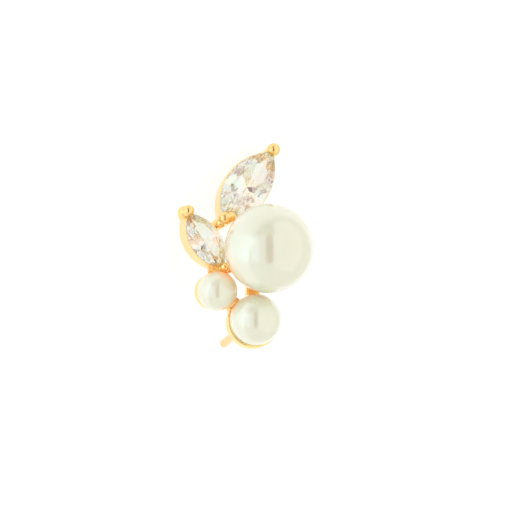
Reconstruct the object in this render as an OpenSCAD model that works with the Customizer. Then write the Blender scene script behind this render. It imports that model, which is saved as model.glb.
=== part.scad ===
// Stud earring: three pearls and two marquise-cut stones in one soldered gold setting.
// Every sub-part is drawn as the earring is worn: X to the right, Y up and Z towards the viewer,
// with the setting's back on Z = 0. The whole is then turned to the way it lies on a surface.

/* [Pearls] */
// Diameter of the large pearl, a whole ball
large_pearl_d = 8; // [7.8:0.05:8.05]
// Height of the large pearl's middle above the setting's back
large_pearl_rise = 4.3; // [4.25:0.05:4.5]
// Diameter of the medium pearl, flat at the back
medium_pearl_d = 4.5; // [4.3:0.05:4.55]
// Height of the medium pearl's middle above the setting's back
medium_pearl_rise = 1.8; // [1.75:0.05:1.95]
// Diameter of the small pearl, flat at the back
small_pearl_d = 3.45; // [3.3:0.05:3.5]
// Height of the small pearl's middle above the back of its cup
small_pearl_rise = 1.6; // [1.5:0.05:1.7]
// Gap left for glue between a pearl and the metal
glue_gap = 0.05; // [0.03:0.01:0.08]

/* [Stones] */
// Length of the large stone from tip to tip
large_stone_l = 8; // [7.95:0.05:8.05]
// Width of the large stone
large_stone_w = 3.95; // [3.85:0.05:3.95]
// Length of the small stone from tip to tip
small_stone_l = 5.8; // [5.7:0.05:5.9]
// Width of the small stone
small_stone_w = 2.9; // [2.8:0.05:2.95]
// Height of the crown as a share of the stone's width
crown_share = 0.16; // [0.14:0.01:0.18]
// Depth of the pavilion as a share of the stone's width
pavilion_share = 0.38; // [0.34:0.01:0.4]
// Width of the table as a share of the stone's width
table_share = 0.58; // [0.54:0.01:0.62]
// Gap between a stone and its basket
stone_gap = 0.02; // [0.01:0.01:0.04]

/* [Cups] */
// Thickness of the cups' floors
cup_floor = 0.3; // [0.25:0.05:0.35]
// Outer diameter of the large pearl's cup
large_cup_d = 5.2; // [5:0.1:5.3]
// Height of the large pearl's cup
large_cup_h = 1; // [0.9:0.05:1.1]
// Outer diameter of the medium pearl's cup
medium_cup_d = 4.75; // [4.7:0.05:4.8]
// Height of the medium pearl's cup
medium_cup_h = 1; // [0.9:0.05:1.1]
// Outer diameter of the small pearl's cup
small_cup_d = 3.15; // [3.1:0.05:3.25]
// Height of the small pearl's cup
small_cup_h = 0.65; // [0.6:0.05:0.7]
// Tilt of the small cup away from the common back plane, in degrees
small_cup_tilt = 13; // [10:1:16]
// Diameter of the peg that the large pearl is glued on
peg_d = 0.9; // [0.85:0.05:0.95]

/* [Baskets] */
// Height of the stones' baskets, up to the stones' girdles
basket_h = 1.8; // [1.75:0.05:1.9]
// Width of the metal rim round a stone
basket_rim = 0.12; // [0.1:0.01:0.15]
// Width of the ledge that a stone rests on
basket_ledge = 0.3; // [0.25:0.05:0.35]
// Diameter of the bead at the large stone's outer tip
large_bead_d = 1.1; // [1:0.05:1.15]
// Diameter of the bead at the small stone's outer tip
small_bead_d = 1; // [0.9:0.05:1.05]
// Diameter of the larger of the two beads at the large stone's inner tip
inner_bead_d = 1.05; // [1:0.05:1.1]
// Diameter of the bead beside it
side_bead_d = 0.85; // [0.8:0.05:0.9]
// Diameter of the bead at the small stone's inner tip
end_bead_d = 0.7; // [0.65:0.05:0.75]

/* [Ear post] */
// Diameter of the ear post
post_d = 0.8; // [0.7:0.05:0.9]
// Length of the ear post from the setting's back to its rounded tip
post_l = 10; // [9.5:0.1:10.5]
// Middle of the ear post to the right of the medium pearl's middle
post_dx = -0.17; // [-0.25:0.01:-0.1]
// Middle of the ear post above the medium pearl's middle
post_dy = 0.19; // [0.1:0.01:0.3]

/* [Layout] */
// Middle of the medium pearl to the right of the large pearl
medium_x = -0.8; // [-0.85:0.05:-0.75]
// Middle of the medium pearl above the large pearl
medium_y = -5.95; // [-6.05:0.05:-5.95]
// Middle of the small pearl to the right of the large pearl
small_x = -4.2; // [-4.25:0.05:-4.15]
// Middle of the small pearl above the large pearl
small_y = -3.4; // [-3.45:0.05:-3.4]
// Middle of the large stone to the right of the large pearl
large_stone_x = -1.2; // [-1.25:0.05:-1.15]
// Middle of the large stone above the large pearl
large_stone_y = 6.3; // [6.25:0.05:6.35]
// Turn of the large stone's length from the X axis, in degrees
large_stone_turn = 53.5; // [53:0.5:54]
// Middle of the small stone to the right of the large pearl
small_stone_x = -5.2; // [-5.25:0.05:-5.15]
// Middle of the small stone above the large pearl
small_stone_y = 1.15; // [1.1:0.05:1.2]
// Turn of the small stone's length from the X axis, in degrees
small_stone_turn = 121.5; // [121:0.5:122]

/* [Hidden] */
$fn = 64;
GOLD = "goldenrod";
PEARL = "ivory";
CRYSTAL = "azure";

// Facets: a star's slope as a share of a main facet's, how far the lower halves reach to the
// culet, and the table's length as a share of the stone's length.
girdle = 0.1;
star_slope_share = 0.55;
lower_half_share = 0.78;
table_length_share = 0.62;

// Prongs: how far outside a stone's tip a bead stands, or its place along and across the stone
// from the tip, the lift of a bead's middle over the basket, and the height over the basket up
// to which the metal is cut away for the stone.
large_bead_out = 0.1;
small_bead_out = 0.15;
end_bead_out = 0.1;
inner_bead_at = [0.1, -0.13];
side_bead_at = [0.52, -0.4];
bead_lift = 0.35;
notch_lift = 0.46;

peg_l = 3;
peg_clearance = 0.05;
small_cup_heading = -40;
post_at = [medium_x + post_dx, medium_y + post_dy];

// Connectors under the cluster, each [from, to, width, low, top].
connector_low = 0.1;
large_to_medium = [[-0.63, -2.2], [-0.63, -4], 0.95, connector_low, 0.9];
large_to_large_stone = [[-0.9, 2], [-1.6, 3.75], 1.5, connector_low, 0.9];
large_to_small_stone = [[-2.2, -0.85], [-3.4, -1.25], 0.9, connector_low, 0.9];
small_stone_to_small = [[-3.8, -0.7], [-3.8, -2.3], 1.4, connector_low, 1.4];
plate_over_it = [[-4.04, -0.7], [-4.04, -2.2], 1.9, 1.25, 1.7];
small_to_medium = [[-3.6, -3.63], [-2.18, -4.7], 1.25, connector_low, 0.8];
stone_to_stone = [[-4.5, 2.37], [-2.8, 3.6], 0.95, connector_low, 1.1];

function unit(v) = v / norm(v);

// A cut is a plane [n, d]: the stone keeps the points p with n * p < d.
function cut_at(p, heading, slope) =
    let (n = [heading[0] * sin(slope), heading[1] * sin(slope), cos(slope)]) [n, n * p];
function cut_through(a, b, c) =
    let (n = unit(cross(b - a, c - a)), out = n * a < 0 ? -n : n) [out, out * a];
function meet(p, q, r) =
    (p[1] * cross(q[0], r[0]) + q[1] * cross(r[0], p[0]) + r[1] * cross(p[0], q[0]))
    / (p[0] * cross(q[0], r[0]));
function mirrored(p, sx, sy) = [[p[0][0] * sx, p[0][1] * sy, p[0][2]], p[1]];
function slope_of(p) = acos(p[0][2]);

// The outline of a marquise stone is two arcs. Its places are counted along a quarter of it, from
// 0 at the widest point to 1 at the tip.
function arc_r(l, w) = (l * l + w * w) / (4 * w);
function arc_middle(l, w) = arc_r(l, w) - w / 2;
function rim_turn(l, w, place) = asin(l / 2 / arc_r(l, w)) * place;
function rim_heading(l, w, place) =
    let (a = rim_turn(l, w, place)) place == 1 ? [1, 0] : [sin(a), cos(a)];
function rim_point(l, w, place, z) =
    let (r = arc_r(l, w), a = rim_turn(l, w, place))
    [r * sin(a), r * cos(a) - arc_middle(l, w), z];

module outline(l, w, grow) {
    intersection_for (side = [-1, 1])
        translate([0, side * arc_middle(l, w)])
            circle(arc_r(l, w) + grow);
}

// Main facets lie at the places 0, 1/2 and 1 of each quarter, and the halves between them.
MAINS = [0, 0.5, 1];
STARS = [0, 0.5];
HALVES = [0, 0.25, 0.5, 0.75];
function main_before(place) = floor(place * 2) / 2;
function table_corner(l, w, place) =
    let (g = rim_point(l, w, place, w * crown_share), out = rim_heading(l, w, place),
         run = place == 1 ? l / 2 * (1 - table_length_share) : w / 2 * (1 - table_share))
    g - run * [out[0], out[1], 0];
function crown_main(l, w, place) =
    let (g = rim_point(l, w, place, 0), t = table_corner(l, w, place), out = rim_heading(l, w, place))
    cut_at(g, out, atan(t[2] / (out * [g[0] - t[0], g[1] - t[1]])));
function star(l, w, place) =
    let (a = table_corner(l, w, place), b = table_corner(l, w, place + 0.5),
         out = unit([a[1] - b[1], b[0] - a[0]]))
    cut_at(a, out, slope_of(crown_main(l, w, 0)) * star_slope_share);
function crown_half(l, w, place) =
    let (main = main_before(place),
         inner = meet(crown_main(l, w, main), crown_main(l, w, main + 0.5), star(l, w, main)))
    cut_through(rim_point(l, w, place, 0), rim_point(l, w, place + 0.25, 0), inner);
function pavilion_main(l, w, place) =
    let (g = rim_point(l, w, place, -girdle), out = rim_heading(l, w, place))
    cut_at(g, out, 180 - atan(w * pavilion_share / (out * [g[0], g[1]])));
function pavilion_half(l, w, place) =
    let (main = main_before(place), culet = [0, 0, -girdle - w * pavilion_share],
         corner = meet(pavilion_main(l, w, main), pavilion_main(l, w, main + 0.5), [[0, 0, -1], girdle]),
         inner = corner + lower_half_share * (culet - corner))
    cut_through(rim_point(l, w, place, -girdle), rim_point(l, w, place + 0.25, -girdle), inner);
function quarter_cuts(l, w) = [
    for (place = MAINS) crown_main(l, w, place),
    for (place = STARS) star(l, w, place),
    for (place = HALVES) crown_half(l, w, place),
    for (place = MAINS) pavilion_main(l, w, place),
    for (place = HALVES) pavilion_half(l, w, place)
];

module beyond(cut, size) {
    n = cut[0];
    rotate([0, acos(n[2]), atan2(n[1], n[0])])
        translate([-size / 2, -size / 2, cut[1]])
            cube(size);
}

// A stone has its girdle's upper edge on Z = 0 and its length along X.
module marquise(l, w) {
    crown = w * crown_share;
    pavilion = girdle + w * pavilion_share;
    hull()
        difference() {
            translate([0, 0, -pavilion])
                linear_extrude(pavilion + crown)
                    outline(l, w, 0);
            for (sx = [-1, 1], sy = [-1, 1], cut = quarter_cuts(l, w))
                beyond(mirrored(cut, sx, sy), 2 * l);
        }
}

module at_large_stone(z = 0)
    translate([large_stone_x, large_stone_y, z])
        rotate(large_stone_turn)
            children();
module at_small_stone(z = 0)
    translate([small_stone_x, small_stone_y, z])
        rotate(small_stone_turn)
            children();
module at_medium()
    translate([medium_x, medium_y, 0])
        children();
module at_small()
    translate([small_x, small_y, small_pearl_rise])
        rotate([0, small_cup_tilt * cos(small_cup_heading), 0])
            rotate([-small_cup_tilt * sin(small_cup_heading), 0, 0])
                translate([0, 0, -small_pearl_rise])
                    children();

// A ball on the axis of its cup, cut off flat below the height floor.
module flat_ball(d, rise, floor)
    difference() {
        translate([0, 0, rise])
            sphere(d / 2);
        translate([-d, -d, floor - 2 * d])
            cube(2 * d);
    }

module seat(d, rise, floor)
    flat_ball(d + 2 * glue_gap, rise, floor);

module peg()
    translate([0, 0, cup_floor / 2])
        cylinder(h = cup_floor / 2 + peg_l, d = peg_d);

// A straight shaft from the back, rounded to a bead on top.
module bead_prong(x, y, d)
    translate([x, y, 0])
        rotate_extrude()
            intersection() {
                union() {
                    translate([0, basket_h + bead_lift])
                        circle(d / 2);
                    square([d / 2, basket_h + bead_lift]);
                }
                square([d, basket_h + d + bead_lift]);
            }

module connector(c) {
    run = c[1] - c[0];
    translate([c[0][0], c[0][1], c[3]])
        rotate(atan2(run[1], run[0]))
            translate([0, -c[2] / 2, 0])
                cube([norm(run), c[2], c[4] - c[3]]);
}

module post()
    translate([post_at[0], post_at[1], cup_floor / 2])
        mirror([0, 0, 1])
            rotate_extrude()
                intersection() {
                    union() {
                        translate([0, cup_floor / 2 + post_l - post_d / 2])
                            circle(post_d / 2);
                        square([post_d / 2, cup_floor / 2 + post_l - post_d / 2]);
                    }
                    square([post_d, 2 * post_l]);
                }

module basket(l, w)
    linear_extrude(basket_h)
        outline(l, w, basket_rim);

module stone_space(l, w) {
    translate([0, 0, -1])
        linear_extrude(basket_h + 1)
            outline(l, w, -basket_ledge);
    translate([0, 0, basket_h - girdle - basket_ledge])
        linear_extrude(girdle + basket_ledge + notch_lift)
            outline(l, w, stone_gap);
}

module metal() {
    cylinder(h = large_cup_h, d = large_cup_d);
    at_medium()
        cylinder(h = medium_cup_h, d = medium_cup_d);
    at_small()
        cylinder(h = small_cup_h, d = small_cup_d);
    at_large_stone() {
        basket(large_stone_l, large_stone_w);
        bead_prong(large_stone_l / 2 + large_bead_out, 0, large_bead_d);
        bead_prong(-large_stone_l / 2 + inner_bead_at[0], inner_bead_at[1], inner_bead_d);
        bead_prong(-large_stone_l / 2 + side_bead_at[0], side_bead_at[1], side_bead_d);
    }
    at_small_stone() {
        basket(small_stone_l, small_stone_w);
        bead_prong(small_stone_l / 2 + small_bead_out, 0, small_bead_d);
        bead_prong(-small_stone_l / 2 - end_bead_out, 0, end_bead_d);
    }
    connector(large_to_medium);
    connector(large_to_large_stone);
    connector(large_to_small_stone);
    connector(small_stone_to_small);
    connector(plate_over_it);
    connector(small_to_medium);
    connector(stone_to_stone);
    post();
}

// The earring lies on the back edge of the large stone's basket, the foot of the small stone's
// outer prong, which are circles in the back plane, and the ball at the post's tip.
function spin(p, a) = [p[0] * cos(a) - p[1] * sin(a), p[0] * sin(a) + p[1] * cos(a)];
arc_at = [large_stone_x, large_stone_y]
    + spin([0, -arc_middle(large_stone_l, large_stone_w)], large_stone_turn);
arc_edge_r = arc_r(large_stone_l, large_stone_w) + basket_rim;
foot_at = [small_stone_x, small_stone_y] + spin([small_stone_l / 2 + small_bead_out, 0], small_stone_turn);
foot_r = small_bead_d / 2;

// Heading, in the back plane, from the line that touches both circles towards the post.
between = foot_at - arc_at;
lean_heading = atan2(between[1], between[0]) + acos((foot_r - arc_edge_r) / norm(between));
lean_way = [cos(lean_heading), sin(lean_heading)];
line_at = lean_way * foot_at - foot_r;
post_reach = lean_way * post_at - line_at;
post_drop = post_l - post_d / 2;
lean = atan2(post_drop, post_reach) + asin(post_d / 2 / norm([post_reach, post_drop]));

function leaned(p) =
    let (q = spin(p, 90 - lean_heading))
    [q[0], q[1] * cos(lean) - p[2] * sin(lean), q[1] * sin(lean) + p[2] * cos(lean)];
OUTER_BALLS = [
    [[0, 0, large_pearl_rise], large_pearl_d / 2],
    [[medium_x, medium_y, medium_pearl_rise], medium_pearl_d / 2],
    [[small_x, small_y, small_pearl_rise], small_pearl_d / 2],
    [[large_stone_x, large_stone_y, basket_h + bead_lift]
        + [for (v = spin([large_stone_l / 2 + large_bead_out, 0], large_stone_turn)) v, 0], large_bead_d / 2],
    [[foot_at[0], foot_at[1], basket_h + bead_lift], small_bead_d / 2],
    [[post_at[0], post_at[1], -post_drop], post_d / 2]
];
function middle(axis) =
    let (low = [for (b = OUTER_BALLS) leaned(b[0])[axis] - b[1]],
         high = [for (b = OUTER_BALLS) leaned(b[0])[axis] + b[1]])
    (min(low) + max(high)) / 2;

// Puts the earring on the surface Z = 0, with the middle of its extent on the Z axis.
module lying()
    translate([-middle(0), -middle(1), -line_at * sin(lean)])
        rotate([lean, 0, 0])
            rotate(90 - lean_heading)
                children();

module setting()
    color(GOLD)
        lying() {
            difference() {
                metal();
                seat(large_pearl_d, large_pearl_rise, 0);
                at_medium()
                    seat(medium_pearl_d, medium_pearl_rise, cup_floor);
                at_small()
                    seat(small_pearl_d, small_pearl_rise, cup_floor);
                at_large_stone()
                    stone_space(large_stone_l, large_stone_w);
                at_small_stone()
                    stone_space(small_stone_l, small_stone_w);
            }
            peg();
        }

module large_pearl()
    color(PEARL)
        lying()
            difference() {
                flat_ball(large_pearl_d, large_pearl_rise, 0);
                cylinder(h = cup_floor + peg_l + peg_clearance, d = peg_d + 2 * peg_clearance);
            }

module medium_pearl()
    color(PEARL)
        lying()
            at_medium()
                flat_ball(medium_pearl_d, medium_pearl_rise, cup_floor + glue_gap);

module small_pearl()
    color(PEARL)
        lying()
            at_small()
                flat_ball(small_pearl_d, small_pearl_rise, cup_floor + glue_gap);

module large_stone()
    color(CRYSTAL)
        lying()
            at_large_stone(basket_h)
                marquise(large_stone_l, large_stone_w);

module small_stone()
    color(CRYSTAL)
        lying()
            at_small_stone(basket_h)
                marquise(small_stone_l, small_stone_w);

setting();
large_pearl();
medium_pearl();
small_pearl();
large_stone();
small_stone();
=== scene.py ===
# %% [markdown]
# # A pearl earring with clear marquise stones
#
# The real thing is a small stud earring: three pearls in gold-plated cups, two clear stones in
# open baskets, and a straight ear post behind. The large pearl is glued on a peg, and the two
# smaller ones are flat at the back and glued straight into their cups. This lesson dresses its
# CAD model: the solids say where everything is, and Blender gives each surface its finish. The
# script starts by loading those solids, because the finished pieces go exactly where they are.

import math

import bmesh
import bpy
from mathutils import Matrix, Vector
from mathutils.bvhtree import BVHTree


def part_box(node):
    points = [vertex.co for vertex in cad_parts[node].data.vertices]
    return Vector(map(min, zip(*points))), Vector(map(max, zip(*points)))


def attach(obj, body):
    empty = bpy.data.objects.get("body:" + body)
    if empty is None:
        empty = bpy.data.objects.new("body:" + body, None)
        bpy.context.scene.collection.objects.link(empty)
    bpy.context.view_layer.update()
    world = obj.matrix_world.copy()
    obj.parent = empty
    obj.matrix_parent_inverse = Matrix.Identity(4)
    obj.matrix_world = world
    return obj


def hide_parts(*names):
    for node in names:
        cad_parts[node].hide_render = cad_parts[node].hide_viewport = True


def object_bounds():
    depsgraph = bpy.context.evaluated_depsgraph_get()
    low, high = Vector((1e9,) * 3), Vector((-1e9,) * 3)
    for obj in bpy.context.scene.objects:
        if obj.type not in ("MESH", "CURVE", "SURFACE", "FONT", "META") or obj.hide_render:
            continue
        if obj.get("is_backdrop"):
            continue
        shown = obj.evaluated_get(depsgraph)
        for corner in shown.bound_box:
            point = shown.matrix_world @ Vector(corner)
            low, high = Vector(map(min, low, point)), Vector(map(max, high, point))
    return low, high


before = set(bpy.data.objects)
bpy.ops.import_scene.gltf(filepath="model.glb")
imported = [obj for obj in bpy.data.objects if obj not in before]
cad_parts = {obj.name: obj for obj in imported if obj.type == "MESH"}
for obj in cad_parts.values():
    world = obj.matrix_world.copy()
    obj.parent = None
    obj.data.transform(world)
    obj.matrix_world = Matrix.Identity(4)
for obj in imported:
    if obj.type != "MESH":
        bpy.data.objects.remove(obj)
cad_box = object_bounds()
root = "root"
print("solids:", sorted(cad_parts))
print("size in mm:", [round((high - low) * 1000, 2) for low, high in zip(*cad_box)])

# %% [markdown]
# ## Sizes as worn
#
# A jeweller lays such a cluster out flat, seen from the front: X to the right, Y up and Z
# towards the viewer, with the back of the setting on Z = 0. It is far easier to place a bead
# or a cup on that plan than on the tilted, resting earring, so all plan values are kept on it,
# in millimetres, and one matrix later puts the finished meshes where the earring lies. The two
# smaller pearls are drawn about a tenth of a millimetre larger than their solids, because a
# second, closer measure of the photo gave them so.

# %% Plan of the cluster
LARGE_PEARL = {"diameter": 8.0, "at": (0.0, 0.0), "rise": 4.3}
MEDIUM_PEARL = {"diameter": 4.6, "at": (-0.8, -5.95), "rise": 1.8}
SMALL_PEARL = {"diameter": 3.58, "at": (-4.2, -3.4), "rise": 1.6}
LARGE_STONE = {"length": 8.0, "width": 3.95, "at": (-1.2, 6.3), "turn": 53.5}
SMALL_STONE = {"length": 5.8, "width": 2.9, "at": (-5.2, 1.15), "turn": 121.5}
BASKET_RIM = 0.12
POST_DIAMETER = 0.8
POST_LENGTH = 10.0
POST_SHIFT = (-0.17, 0.19)
POST_AT = (MEDIUM_PEARL["at"][0] + POST_SHIFT[0], MEDIUM_PEARL["at"][1] + POST_SHIFT[1])


def on_stone(stone, along, across=0.0):
    """A place on the plan, from its distances along and across a stone."""
    turned = Matrix.Rotation(math.radians(stone["turn"]), 2) @ Vector((along, across))
    return turned + Vector(stone["at"])


def arc_radius(stone):
    """A marquise outline is two equal arcs; this is their radius."""
    return (stone["length"] ** 2 + stone["width"] ** 2) / (4 * stone["width"])


OUTER_REACH = 3.05
OUTER_PRONG = {"at": on_stone(SMALL_STONE, OUTER_REACH), "diameter": 1.0}
print("outlines' radii:", [round(arc_radius(stone), 2) for stone in (LARGE_STONE, SMALL_STONE)])

# %% [markdown]
# ## From worn to lying
#
# Left on a table, the earring tips over until three points touch: the rounded tip of the post,
# the back edge of the large basket, and the foot of the small stone's outer prong. Both edges
# are circles in the back plane, so the line that touches both gives the first turn, and the
# drop to the post's tip gives the second. The large pearl's middle in the solids gives the
# last step, the shift.

# %% The matrix that lays the earring down
MM = 0.001
foot = OUTER_PRONG["at"]
foot_radius = OUTER_PRONG["diameter"] / 2
edge_middle = on_stone(LARGE_STONE, 0, LARGE_STONE["width"] / 2 - arc_radius(LARGE_STONE))
edge_radius = arc_radius(LARGE_STONE) + BASKET_RIM
between = foot - edge_middle
touching = math.acos((foot_radius - edge_radius) / between.length)
lean_heading = math.atan2(between.y, between.x) + touching
lean_way = Vector((math.cos(lean_heading), math.sin(lean_heading)))
reach = lean_way.dot(Vector(POST_AT)) - (lean_way.dot(foot) - foot_radius)
drop = POST_LENGTH - POST_DIAMETER / 2
lean = math.atan2(drop, reach) + math.asin(POST_DIAMETER / 2 / math.hypot(drop, reach))
turned = Matrix.Rotation(lean, 4, "X") @ Matrix.Rotation(math.pi / 2 - lean_heading, 4, "Z")

low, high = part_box("large_pearl")
pearl_middle = (Vector(low) + Vector(high)) / 2
LYING = (
    Matrix.Translation(pearl_middle)
    @ turned
    @ Matrix.Scale(MM, 4)
    @ Matrix.Translation((0, 0, -LARGE_PEARL["rise"]))
)
post_tip = LYING @ Vector((*POST_AT, -drop))
print("leans", round(math.degrees(lean), 1), "degrees")
print("the post's tip ball is", round(post_tip.z / MM, 2), "mm up")

# %% [markdown]
# ## Helpers
#
# Node trees are long when each node takes five lines, so one small function adds a node of any
# kind, sets what it needs and wires it up. A second one runs a Geometry Nodes tree once and
# keeps the plain mesh, because the finished pieces carry no modifiers.

# %% Helper: add a node
def add(tree, kind, wires=None, **settings):
    """Adds a node; wires holds input names or numbers, with a value or a socket for each."""
    node = tree.nodes.new(kind)
    for name, value in settings.items():
        setattr(node, name, value)
    for name, value in (wires or {}).items():
        if isinstance(value, bpy.types.NodeSocket):
            tree.links.new(value, node.inputs[name])
        else:
            node.inputs[name].default_value = value
    return node


# %% Helper: start and end a Geometry Nodes tree
SOCKET = {float: "NodeSocketFloat", int: "NodeSocketInt", "geometry": "NodeSocketGeometry"}


def start_tree(name, **sizes):
    """A Geometry Nodes tree whose named inputs have these values to begin with."""
    tree = bpy.data.node_groups.new(name, "GeometryNodeTree")
    tree.interface.new_socket("Geometry", in_out="INPUT", socket_type=SOCKET["geometry"])
    tree.interface.new_socket("Geometry", in_out="OUTPUT", socket_type=SOCKET["geometry"])
    for label, value in sizes.items():
        made = tree.interface.new_socket(label, in_out="INPUT", socket_type=SOCKET[type(value)])
        made.default_value = value
    return tree, tree.nodes.new("NodeGroupInput").outputs


def end_tree(tree, geometry, material):
    """Realize Instances and Set Material come last, so that the finished mesh has plain faces."""
    real = add(tree, "GeometryNodeRealizeInstances", {"Geometry": geometry})
    smooth = add(tree, "GeometryNodeSetShadeSmooth", {"Geometry": real.outputs[0]})
    wires = {"Geometry": smooth.outputs[0], "Material": material}
    painted = add(tree, "GeometryNodeSetMaterial", wires)
    out = tree.nodes.new("NodeGroupOutput")
    tree.links.new(painted.outputs[0], out.inputs[0])


# %% Helper: run a tree, and show a mesh
def run_tree(tree, points=None, **sizes):
    """Runs a tree on a mesh of points, or on nothing, and returns the plain mesh."""
    source = bpy.data.objects.new("source", points or bpy.data.meshes.new("source"))
    bpy.context.scene.collection.objects.link(source)
    modifier = source.modifiers.new("shape", "NODES")
    modifier.node_group = tree
    for item in tree.interface.items_tree:
        if item.in_out == "INPUT" and item.name in sizes:
            modifier[item.identifier] = sizes[item.name]
    ready = source.evaluated_get(bpy.context.evaluated_depsgraph_get())
    mesh = bpy.data.meshes.new_from_object(ready)
    bpy.data.objects.remove(source)
    return mesh


def show(mesh, name):
    """A piece: its place is in its mesh, and its object stays at the origin."""
    piece = bpy.data.objects.new(name, mesh)
    mesh.name = name
    bpy.context.scene.collection.objects.link(piece)
    return piece


# %% [markdown]
# ## The gold
#
# The setting is cast brass with a thin electroplated layer of yellow gold, tumbled and
# polished. Polished metal has almost no colour of its own: it tints what it mirrors, pale
# yellow where it sees the white table and deep amber where gold mirrors gold. So the material
# is a full metal with a low roughness, and tumbling leaves a soft waviness and fine scratches,
# which a little bump and a little uneven roughness show. A deeper, redder gold is also painted
# on: painted shade on the bars and blocks that lie between the parts, and a little on the post
# and beads. The mesh later gets an attribute that says where that painted shade goes.

# %% Colour and scale helpers
def linear(code):
    """An sRGB hex colour as the linear colour that shaders use."""
    parts = [int(code[i : i + 2], 16) / 255 for i in (1, 3, 5)]
    return [*(c / 12.92 if c <= 0.04045 else ((c + 0.055) / 1.055) ** 2.4 for c in parts), 1.0]


def start_material(name, **surface):
    """A material with one Principled shader, whose constants are set on its own sockets."""
    material = bpy.data.materials.new(name)
    material.use_nodes = True
    tree = material.node_tree
    shader = tree.nodes["Principled BSDF"]
    for label, value in surface.items():
        shader.inputs[label.replace("_", " ")].default_value = value
    place = add(tree, "ShaderNodeTexCoord")
    return material, tree, shader, place.outputs["Object"]


def per_metre(size_mm):
    """A texture's scale, from the real size of one of its features."""
    return 1000 / size_mm


# %% Polished gold plate
# Gold over brass, plated and tumbled: a warm mirror, with patches of a slightly deeper yellow
# 1.5 mm wide and a waviness of half a millimetre that bends what it mirrors.
gold, tree, shader, place = start_material("polished_gold_plate", Metallic=1.0)
wires = {"Vector": place, "Scale": per_metre(1.5), "Detail": 3.0}
patches = add(tree, "ShaderNodeTexNoise", wires)
tint = add(tree, "ShaderNodeValToRGB", {"Fac": patches.outputs["Fac"]})
tint.color_ramp.elements[0].color = linear("#FFDC8A")
tint.color_ramp.elements[1].color = linear("#FFE59C")
# Painted shade: a deeper, redder gold, mixed in wherever the mesh's attribute says.
painted_shade = add(tree, "ShaderNodeAttribute", attribute_name="painted_shade")
wires = {0: painted_shade.outputs["Fac"], 6: tint.outputs["Color"], 7: linear("#F8BE6A")}
gold_and_painted_shade = add(tree, "ShaderNodeMix", wires, data_type="RGBA")
wires = {"Value": patches.outputs["Fac"], "To Min": 0.1, "To Max": 0.2}
polish = add(tree, "ShaderNodeMapRange", wires)
wires = {"Vector": place, "Scale": per_metre(0.5), "Detail": 2.0}
tumbled = add(tree, "ShaderNodeTexNoise", wires)
wires = {"Height": tumbled.outputs["Fac"], "Strength": 0.25, "Distance": 0.02 * MM}
bump = add(tree, "ShaderNodeBump", wires)
tree.links.new(gold_and_painted_shade.outputs[2], shader.inputs["Base Color"])
tree.links.new(polish.outputs["Result"], shader.inputs["Roughness"])
tree.links.new(bump.outputs["Normal"], shader.inputs["Normal"])
print("gold ready:", len(tree.nodes), "nodes")

# %% [markdown]
# ## Walls: baskets and cups
#
# Each stone sits in a basket, a strip of metal bent to the stone's outline, and each pearl in a
# cup. Both are one wall profile that follows a path: an arc on each side of a stone, a circle
# round a pearl. Curve to Mesh sweeps the profile, so one tree makes all of them. The wall is
# wide at its foot and thin at its lip, as in a cast basket whose seat is cut for the stone.

# %% Tree: a wall along an arc
def wall_tree():
    """The path is half a sweep to each side of the Y axis. Offsets are outwards from it."""
    tree, size = start_tree(
        "wall_along_an_arc",
        **{"Path radius": 2.0, "Half sweep": math.pi},
        **{"Lip inside": 0.02, "Lip outside": 0.1, "Foot inside": -0.3, "Foot outside": 0.1},
        **{"Foot height": 0.0, "Lip height": 1.0},
    )
    times = {"operation": "MULTIPLY"}
    low = add(tree, "ShaderNodeMath", {0: size["Foot height"], 1: -1.0}, **times).outputs[0]
    high = add(tree, "ShaderNodeMath", {0: size["Lip height"], 1: -1.0}, **times).outputs[0]
    corners = [
        (size["Foot inside"], low),
        (size["Lip inside"], high),
        (size["Lip outside"], high),
        (size["Foot outside"], low),
    ]
    profile = add(tree, "GeometryNodeCurvePrimitiveQuadrilateral", mode="POINTS")
    for number, (x, y) in enumerate(corners, 1):
        point = add(tree, "ShaderNodeCombineXYZ", {"X": x, "Y": y})
        tree.links.new(point.outputs[0], profile.inputs[f"Point {number}"])
    wires = {0: math.pi / 2, 1: size["Half sweep"]}
    start = add(tree, "ShaderNodeMath", wires, operation="SUBTRACT")
    whole = add(tree, "ShaderNodeMath", {0: size["Half sweep"], 1: 2.0}, **times)
    path = add(
        tree,
        "GeometryNodeCurveArc",
        {
            "Resolution": 128,
            "Radius": size["Path radius"],
            "Start Angle": start.outputs[0],
            "Sweep Angle": whole.outputs[0],
        },
    )
    wires = {"Curve": path.outputs[0], "Profile Curve": profile.outputs[0], "Fill Caps": True}
    wall = add(tree, "GeometryNodeCurveToMesh", wires)
    end_tree(tree, wall.outputs[0], gold)
    return tree


WALL = wall_tree()
print("wall tree:", len(WALL.nodes), "nodes")

# %% [markdown]
# A basket has two walls in one. The sturdy wall is melted together with everything else
# later on, which rounds its edge. The crisp lip above it is joined unmelted, because that edge
# is thin and sharp on the real one, and melting would swell it. It ends just under the stone's
# girdle, the stone's widest edge, so that the stone shows its whole outline from the front.

# %% Baskets
BASKET_HEIGHT = 1.8
GIRDLE = 0.1
STONE_GAP = 0.01
STURDY = {
    "Lip inside": -0.03,
    "Lip outside": 0.09,
    "Foot inside": -0.3,
    "Foot outside": BASKET_RIM,
    "Foot height": 0.0,
    "Lip height": 1.6,
}
CRISP = {
    "Lip inside": 0.0,
    "Lip outside": 0.045,
    "Foot inside": -0.05,
    "Foot outside": 0.1,
    "Foot height": 1.3,
    "Lip height": BASKET_HEIGHT - GIRDLE - STONE_GAP,
}


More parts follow.
